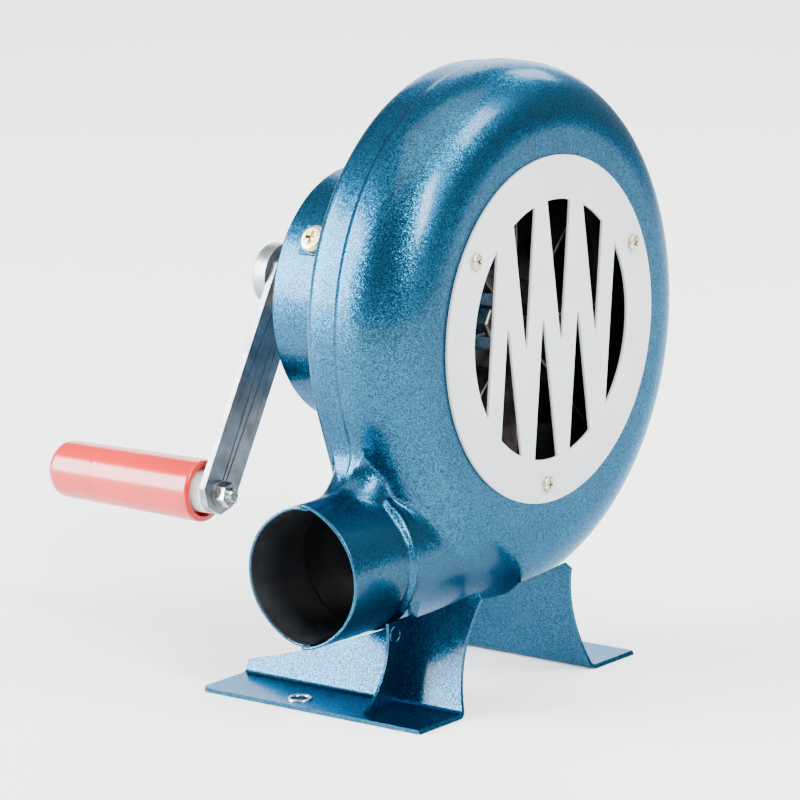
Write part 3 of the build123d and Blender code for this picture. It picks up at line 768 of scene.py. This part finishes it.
def outlet_pipe(side, section_y, section_z):
    """The straight collar: its half section carried from the mouth to the casing."""
    along = np.linspace(mouth_x, collar_join_x, 22)
    return np.stack(
        [
            np.repeat(along[:, None], len(section_y), 1),
            np.repeat(seam_y + side * section_y[None], len(along), 0),
            np.repeat(outlet_z + section_z[None], len(along), 0),
        ],
        2,
    )


print(f"grid: {shoulder_rows + flat_rows} rows and {inner_rows - 1} more inside the ring")

# %% [markdown]
# ### A half from its grid
#
# Under the pressed face stands the side wall, a few rows from the seam up to the face.  The rear
# half has a lip as well, which reaches into the front half.  The sheet gets its thickness from a
# Solidify modifier that grows inwards, so that the outside stays where it was computed.

# %% Casing half
def casing_half(name, side, trim, flat, shoulder, reach, opening_r, lip, material):
    """One half: side is -1 for the front; grid rows run outline to opening."""
    edge = trimmed(outline, trim)
    plan = grid_plan(edge, opening_r)
    depth = pressing(plan.reshape(-1, 2), trim, flat, shoulder, reach).reshape(plan.shape[:2])
    depth = np.maximum(depth, least_depth)
    section_y, section_z = collar_section(trim, marks[5] - marks[4] + 1)
    depth[0, marks[4] : marks[5] + 1] = section_y
    wall = np.linspace(0, 1, 4)[:, None] * depth[0]
    if lip:
        wall = np.concatenate([np.full((1, len(edge)), -lip), wall])
    wall_plan = np.repeat(edge[None], len(wall), 0)
    x_z = np.concatenate([wall_plan[:-1], plan])
    y = seam_y + side * np.concatenate([wall[:-1], depth])
    points = np.stack([x_z[..., 0], y, x_z[..., 1]], 2)
    faces = grid_faces(*y.shape, wrap_columns=True)
    row, column = np.divmod(np.arange(len(faces)), len(edge))
    in_mouth = (column >= marks[4]) & (column < marks[5])
    faces = faces[~(in_mouth & (row < len(wall) - 1))]
    if lip:
        section_y = np.concatenate([[-lip], section_y, [-lip]])
        section_z = section_z[[0, *range(len(section_z)), -1]]
    pipe = outlet_pipe(side, section_y, section_z)
    parts = [(points, faces), (pipe, grid_faces(*pipe.shape[:2]))]
    piece = mesh_piece(name + "_skin", parts, "casing", "blue_paint", material, [name], 50, side)
    thickness = piece.modifiers.new("sheet", "SOLIDIFY")
    thickness.thickness = sheet
    thickness.offset = -1
    # The inner face of the sheet takes the near-black finish, painted shade for the inside of the casing.
    thickness.material_offset = 1
    piece.data.materials.append(inside_painted_shade)
    return piece


nest = sheet + 0.1 * MM
front_shoulder, rear_corner, shaft_hole_r, rear_lip = 29 * MM, 8 * MM, 7.2 * MM, 4 * MM
front_fade, rear_fade = (0.015, 0.045), (-0.030, 0.035)
front_flat, rear_flat = seam_y - front_y, rear_y - seam_y
front_size = (-1, 0.0, front_flat, front_shoulder, front_fade, ring_r, 0.0)
rear_size = (1, nest, rear_flat, rear_corner, rear_fade, shaft_hole_r, rear_lip)
casing_half("front_casing", *front_size, blue_paint)
casing_half("rear_casing", *rear_size, blue_paint)

# %% [markdown]
# ## The intake plate
#
# The plate is punched from flat sheet.  Between the slots, slanted bars run to and fro and make
# a zigzag.  The outline and the slots are flat closed curves, so Blender's own curve fill makes
# the plate, with its thickness from the extrusion and its softened edge from the curve's bevel.
# The corners are rounded first, as a punch would leave them.

# %% Intake plate
bar_pitch, bar_width = 13.2 * MM, 10.5 * MM
bar_leans = (-0.154, 0.103)
slot_r, plate_r, punch_r = 58 * MM, 77.4 * MM, 1.3 * MM
screw_circle_r, screw_hole_r, soft = 69 * MM, 2.2 * MM, 0.22 * MM
plate_low, plate_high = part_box("intake_grille")
screw_places = [math.radians(146 + 120 * number) for number in range(3)]


def bar_edge(number, side, z):
    """x of a bar's edge: its place in the row, half its width, and its lean times z."""
    return bar_pitch * number + side * bar_width / 2 + bar_leans[number % 2] * z


def slot_outline(number):
    """Wedge between a bar and the next, cut off by the slots' circle, as polar rows."""
    left, right = bar_leans[number % 2], bar_leans[(number + 1) % 2]
    tip = (bar_pitch - bar_width) / (left - right)
    z = np.linspace(tip, math.copysign(1, right - left) * 1.2 * slot_r, 400)
    low, high = bar_edge(number, 1, z), bar_edge(number + 1, -1, z)
    one = np.stack([low, z], 1)
    two = np.stack([high, z], 1)
    one, two = (side[np.hypot(*side.T) < slot_r] for side in (one, two))
    first, last = (math.atan2(side[-1][1], side[-1][0]) for side in (one, two))
    return np.concatenate([one[[0, -1]], arc_points(0, 0, slot_r, first, last, 10), two[-1:]])


def side_outline(side):
    """The part of the slots' circle beyond the last bar on one side."""
    z = np.linspace(-slot_r, slot_r, 2000)
    edge = np.stack([bar_edge(3 * side, side, z), z], 1)
    edge = edge[np.hypot(*edge.T) < slot_r]
    first, last = (math.atan2(end[1], end[0]) for end in (edge[0], edge[-1]))
    if side < 0:
        first += 2 * math.pi
    return np.concatenate([arc_points(0, 0, slot_r, first, last, 30), edge[-1:]])


def rounded(corners, radius, steps=5):
    """Corners cut back and replaced by quadratic curves, never past half an edge."""
    before, after = np.roll(corners, 1, axis=0), np.roll(corners, -1, axis=0)
    to_before, to_after = before - corners, after - corners
    length_b = np.linalg.norm(to_before, axis=1)[:, None]
    length_a = np.linalg.norm(to_after, axis=1)[:, None]
    cosine = (to_before * to_after).sum(1)[:, None] / (length_a * length_b)
    half = np.sqrt(np.maximum((1 - cosine) / (1 + cosine + 1e-9), 1e-6))
    cut = np.minimum(radius / half, 0.48 * np.minimum(length_a, length_b))
    start, end = corners + to_before / length_b * cut, corners + to_after / length_a * cut
    t = np.linspace(0, 1, steps)[:, None, None]
    curve = (1 - t) ** 2 * start + 2 * t * (1 - t) * corners + t**2 * end
    return curve.transpose(1, 0, 2).reshape(-1, 2)


print("slot tips:", [len(rounded(slot_outline(number), punch_r)) for number in (-1, 0)], "points")

# %% [markdown]
# ### The plate from its curves
#
# One closed curve is the rim, the others are holes in it.  Filled, extruded and softened, the
# curve is made a mesh, and only then is it turned upright and moved in front of the fan.

# %% Punched plate
def punched_plate():
    """A flat curve with holes, filled and given its thickness, as a mesh in place."""
    curve = bpy.data.curves.new("intake_plate", "CURVE")
    curve.dimensions = "2D"
    curve.fill_mode = "BOTH"
    curve.bevel_depth = soft
    curve.bevel_resolution = 2
    curve.extrude = (plate_high.y - plate_low.y) / 2 - soft
    curve.offset = -soft
    whole = 2 * math.pi
    loops = [arc_points(0, 0, plate_r, 0, whole, 200)]
    loops += [rounded(slot_outline(number), punch_r) for number in range(-3, 3)]
    loops += [rounded(side_outline(side), punch_r) for side in (-1, 1)]
    for angle in screw_places:
        x, z = screw_circle_r * math.cos(angle), screw_circle_r * math.sin(angle)
        loops.append(arc_points(x, z, screw_hole_r, 0, whole, 24))
    for loop in loops:
        spline = curve.splines.new("POLY")
        spline.points.add(len(loop) - 1)
        flat = np.concatenate([loop, np.zeros((len(loop), 1)), np.ones((len(loop), 1))], 1)
        spline.points.foreach_set("co", flat.ravel())
        spline.use_cyclic_u = True
    drawn = bpy.data.objects.new("intake_plate", curve)
    bpy.context.scene.collection.objects.link(drawn)
    bpy.context.view_layer.update()
    depsgraph = bpy.context.evaluated_depsgraph_get()
    mesh = bpy.data.meshes.new_from_object(drawn.evaluated_get(depsgraph))
    bpy.data.objects.remove(drawn)
    flat = np.zeros(len(mesh.vertices) * 3)
    mesh.vertices.foreach_get("co", flat)
    x, z, y = flat.reshape(-1, 3).T
    middle_y = (plate_low.y + plate_high.y) / 2
    points = np.stack([x + fan_x, middle_y - y, z + fan_z], 1)
    faces = [list(polygon.vertices) for polygon in mesh.polygons]
    return points, faces


plate_points, plate_faces = punched_plate()
mesh = bpy.data.meshes.new("intake_grille_skin")
mesh.from_pydata(plate_points.tolist(), [], plate_faces)
shell = bmesh.new()
shell.from_mesh(mesh)
bmesh.ops.remove_doubles(shell, verts=shell.verts, dist=1e-6)
bmesh.ops.recalc_face_normals(shell, faces=shell.faces)
shell.to_mesh(mesh)
shell.free()
plate_slot = ("casing", "grey_plate", ["intake_grille"])
add_piece("intake_grille_skin", mesh, finishes["grey_plate"], *plate_slot, sharp=50)
print("intake plate:", len(mesh.polygons), "faces")

# %% [markdown]
# ## Small pressed details
#
# The bolt hole of a foot has a raised rim, left by the punch, and the gusset shows the round
# mark of a spot weld.  Both are turned shapes like the grip, only about another axis, so the
# same lathe makes them and the points are then turned to the right plane.

# %% Hole rims and the weld mark
hole = mounts["foot_bolts"]
hole_r = hole["dims"]["hole_r_mm"] * MM
foot_top = 1.8 * MM
rim_height, rim_half_width = 0.75 * MM, 0.8 * MM
rim_steps, rim_round = 48, 16


def hole_rim(side):
    """A closed half-round ring on top of a foot, about the hole's upright axis."""
    a = np.linspace(0, 2 * math.pi, rim_round, endpoint=False)
    radius = hole_r + rim_half_width + rim_half_width * np.cos(a)
    points, _ = lathe(list(zip(radius, foot_top + rim_height * np.sin(a))), 0, 0, rim_steps)
    x, y, z = points.transpose(2, 0, 1)
    centre_x = side * hole["dims"]["spacing_x_mm"] * MM / 2
    return np.stack([x + centre_x, -z, y], 2), grid_faces(rim_round, rim_steps, True, True)


for side, node in ((-1, "outlet_foot"), (1, "far_foot")):
    mesh_piece(node + "_rim", [hole_rim(side)], "casing", "zinc_plate", bright)

weld_r, weld_half_width, weld_height = 3.4 * MM, 0.5 * MM, 0.35 * MM
weld_x, weld_z, weld_steps, weld_round = -52.0 * MM, 32.3 * MM, 40, 12
weld_a = np.linspace(0, 2 * math.pi, weld_round, endpoint=False)
weld_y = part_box("foot_gusset")[0].y + weld_height * np.sin(weld_a)
weld_ring = list(zip(weld_r + weld_half_width * np.cos(weld_a), weld_y))
weld_points, _ = lathe(weld_ring, weld_x, weld_z, weld_steps)
weld_parts = [(weld_points, grid_faces(weld_round, weld_steps, True, True))]
mesh_piece("gusset_weld", weld_parts, "casing", "blue_paint", blue_paint)

# %% [markdown]
# ## The grip
#
# The grip is one red moulding that tapers a little, with a rounded end, a recess that shows the
# bush, and the fine line that the two halves of its mould leave round it.  It is a turned shape,
# so a profile of radius against distance, turned about the bolt, gives all of it.

# %% Grip
grip_low, grip_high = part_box("handle_grip")
near_r, far_r = 14.2 * MM, 13.1 * MM
start_y, end_y = grip_low.y, grip_high.y
near_round, far_round = 1.4 * MM, 6 * MM
line_place, line_depth, line_width = 0.67, 0.22 * MM, 0.35 * MM
head_r, head_depth, pin_r = 7.0 * MM, 9.4 * MM, 3.4 * MM
bush_r, bush_depth, recess_r, recess_depth = 9.6 * MM, 16.4 * MM, 11.6 * MM, 4 * MM


def grip_profile():
    """The taper with both rounded ends, the mould line and the bore, as (radius, y)."""
    y = np.linspace(start_y + near_round, end_y - far_round, 90)
    r = near_r + (far_r - near_r) * (y - start_y) / (end_y - start_y)
    line_y = start_y + line_place * (end_y - start_y)
    r = r - line_depth * np.exp(-(((y - line_y) / line_width) ** 2))
    start = arc(near_r - near_round, start_y + near_round, near_round, -90, 0)
    end = arc(far_r - far_round, end_y - far_round, far_round, 0, 90, 14)
    bore = [(head_r, end_y), (head_r, end_y - head_depth), (pin_r, end_y - head_depth)]
    inside = [(pin_r, start_y + bush_depth), (bush_r, start_y + bush_depth)]
    step_y = start_y + recess_depth
    recess = [(bush_r, step_y), (recess_r, step_y), (recess_r, start_y)]
    return start + list(zip(r, y)) + end + bore + inside + recess


profile = grip_profile()
grip_parts = [lathe(profile + profile[:1], bolt_x, bolt_z)]
grip_slot = ("grip", "red_plastic", red_moulding, ["handle_grip"])
mesh_piece("handle_grip_skin", grip_parts, *grip_slot)

# %% [markdown]
# ## Floor and surroundings
#
# A product like this stands in a white room.  The floor is one large pale sheet, a hair under
# the feet, and the world's even light stands in for the walls.

# %% Floor and world
floor_mesh = bpy.data.meshes.new("floor")
reach_m, floor_z = 6.0, -0.2 * MM
around = ((-1, -1), (1, -1), (1, 1), (-1, 1))
floor_corners = [(x * reach_m, y * reach_m, floor_z) for x, y in around]
floor_mesh.from_pydata(floor_corners, [], [(0, 1, 2, 3)])
floor = bpy.data.objects.new("floor", floor_mesh)
bpy.context.scene.collection.objects.link(floor)
paper = Finish("pale_floor", Roughness=0.7)
paper.feed(Base_Color=paper.ramp(paper.noise(300, 3), (0.955, 0.955, 0.955), (0.97, 0.97, 0.97)))
floor_mesh.materials.append(paper.material)

world = bpy.data.worlds.new("white_room")
bpy.context.scene.world = world
world.use_nodes = True
world.node_tree.nodes["Background"].inputs["Color"].default_value = (0.92, 0.96, 1.0, 1)
world.node_tree.nodes["Background"].inputs["Strength"].default_value = 0.74

print("floor:", 2 * reach_m, "m square")

# %% [markdown]
# ## Lights
#
# Glossy paint shows the lights themselves, so their places are chosen by where their mirror
# images fall.  The key in front draws the long highlight down the shoulder, the front light
# brightens the outlet and the low front, the back light catches the top, the side light the
# drum and the seam, the edge light the far side, and the overhead one fills from above.

# %% Soft lights
middle = np.array([0.03, 0.02, 0.14])


def soft_light(name, place, size, power, colour=(1, 1, 1)):
    """A rectangular soft light that looks at the middle of the blower."""
    data = bpy.data.lights.new(name, "AREA")
    data.shape = "RECTANGLE"
    data.size, data.size_y = size
    data.energy = power
    data.color = colour
    lamp = bpy.data.objects.new(name, data)
    bpy.context.scene.collection.objects.link(lamp)
    lamp.location = place
    way = Vector(middle - np.array(place))
    lamp.rotation_euler = way.to_track_quat("-Z", "Y").to_euler()
    return lamp


soft_light("key", (-0.9, -2.6, 2.2), (0.7, 1.5), 190)
soft_light("overhead", (-0.1, -0.1, 2.6), (2.4, 2.4), 60)
soft_light("side", (-2.0, 2.6, 1.2), (2.2, 2.2), 600, (0.94, 0.96, 1.0))
soft_light("edge", (2.6, 1.9, 1.3), (1.6, 1.8), 45, (0.96, 0.94, 1.0))
soft_light("front", (0.9, -1.6, 2.4), (1.0, 0.8), 80)
soft_light("back", (2.2, 0.3, 1.7), (0.7, 0.7), 25)

# %% [markdown]
# ## Camera
#
# A long lens from about two metres keeps the round casing round.  The camera's three axes are
# worked out from its bearing, its height angle and a slight roll, and make its matrix.

# %% Camera
camera_data = bpy.data.cameras.new("camera")
camera_data.lens = 197.53
camera_data.sensor_width = 36
camera = bpy.data.objects.new("camera", camera_data)
bpy.context.scene.collection.objects.link(camera)
azimuth, elevation, roll = math.radians(-52.62), math.radians(11.72), math.radians(-0.55)
back = np.array(
    [
        math.sin(azimuth) * math.cos(elevation),
        -math.cos(azimuth) * math.cos(elevation),
        math.sin(elevation),
    ]
)
right = np.array([math.cos(azimuth), math.sin(azimuth), 0])
up = np.cross(back, right)
turned_right = math.cos(roll) * right + math.sin(roll) * up
turned_up = -math.sin(roll) * right + math.cos(roll) * up
target = np.array([0.050, -0.011, 0.150])
place = target + 1.95796 * back - 0.03674 * turned_right - 0.03454 * turned_up
axes = np.stack([turned_right, turned_up, back], 1)
camera.matrix_world = Matrix([[*axes[i], place[i]] for i in range(3)] + [[0, 0, 0, 1]])
bpy.context.scene.camera = camera
print("camera at", [round(float(value), 4) for value in place])
